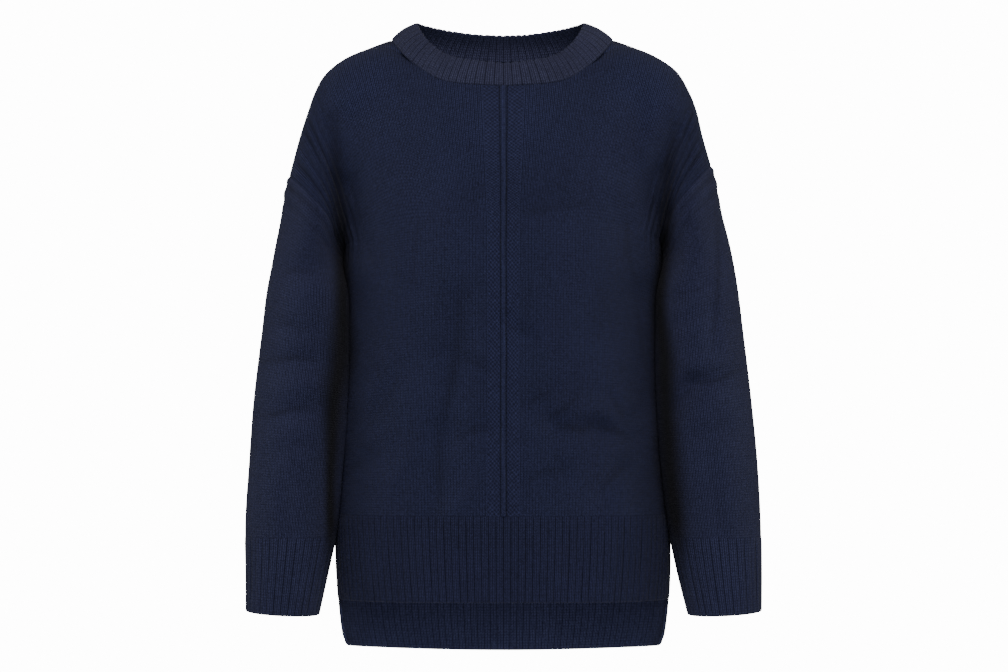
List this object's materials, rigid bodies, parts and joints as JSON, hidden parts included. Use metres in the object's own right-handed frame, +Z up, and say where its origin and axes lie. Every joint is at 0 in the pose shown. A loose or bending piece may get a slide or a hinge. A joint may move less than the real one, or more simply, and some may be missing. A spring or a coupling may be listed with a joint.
{
  "type": "knit crew neck sweater with long sleeves, worn form, no wearer",
  "caption": "Navy wool crew neck sweater, hollow as worn: drop shoulders, ribbed neckband, cuffs and split hem longer behind, stockinette with one raised centre rib between seed stitch bands.",
  "frame": {"origin": "middle of the shoulder line, in the plane of the shoulder folds, where the wearer's shoulders hold the sweater up", "axes": "+Z up, -Y is the front of the sweater, +X is the right of one who looks at its front"},
  "size_m": [0.5654, 0.2203, 0.7029],
  "materials": {
    "panel": "matte wool knit, stockinette",
    "sleeve": "matte wool knit, stockinette",
    "rib": "matte wool knit, ribbed",
    "neckband": "matte wool knit, ribbed"
  },
  "bodies": {
    "root": {"front_panel": "panel", "back_panel": "panel", "left_sleeve": "sleeve", "right_sleeve": "sleeve", "neckband": "neckband", "front_hem_rib": "rib", "back_hem_rib": "rib", "left_cuff": "rib", "right_cuff": "rib"}
  },
  "joints": []
}
